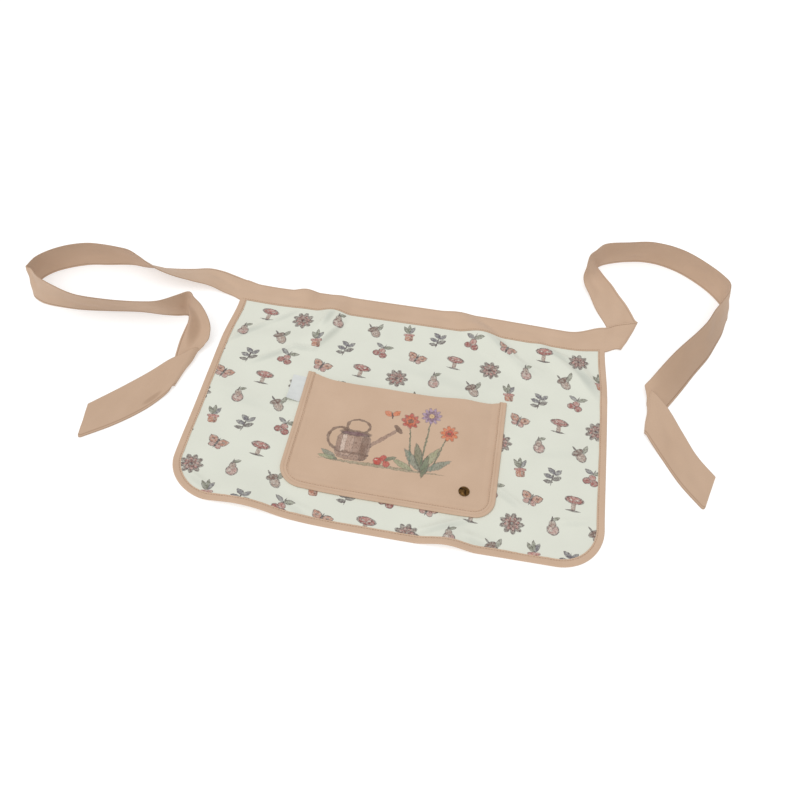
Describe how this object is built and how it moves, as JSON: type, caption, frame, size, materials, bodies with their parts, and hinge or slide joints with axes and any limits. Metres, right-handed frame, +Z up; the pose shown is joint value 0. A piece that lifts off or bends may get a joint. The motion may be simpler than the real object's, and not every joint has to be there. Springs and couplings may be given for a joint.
{
  "type": "half apron",
  "caption": "Laid-out waist apron: a bound skirt panel with rounded lower corners, a wide patch pocket, and a waistband running on into two long slant-cut ties.",
  "frame": {"origin": "middle of the underside of the box round the whole laid-out apron, on the surface it lies on", "axes": "+X along the waistband, to the right as seen from the front; +Y from the hem to the waistband; +Z up, out of the front of the cloth"},
  "size_m": [1.0544, 0.5946, 0.0515],
  "materials": {
    "pale_cloth": "woven cotton, matt, pale sage ground with a scattered print",
    "tan_cloth": "woven cotton, matt, plain tan",
    "label_white": "smooth woven tape, blank",
    "bronze": "dark aged bronze, satin"
  },
  "bodies": {
    "root": {"panel": "pale_cloth", "panel_binding": "tan_cloth", "waistband": "tan_cloth", "tie_left": "tan_cloth", "tie_right": "tan_cloth", "pocket": "tan_cloth", "pocket_binding": "tan_cloth", "label": "label_white", "badge": "bronze"}
  },
  "joints": []
}
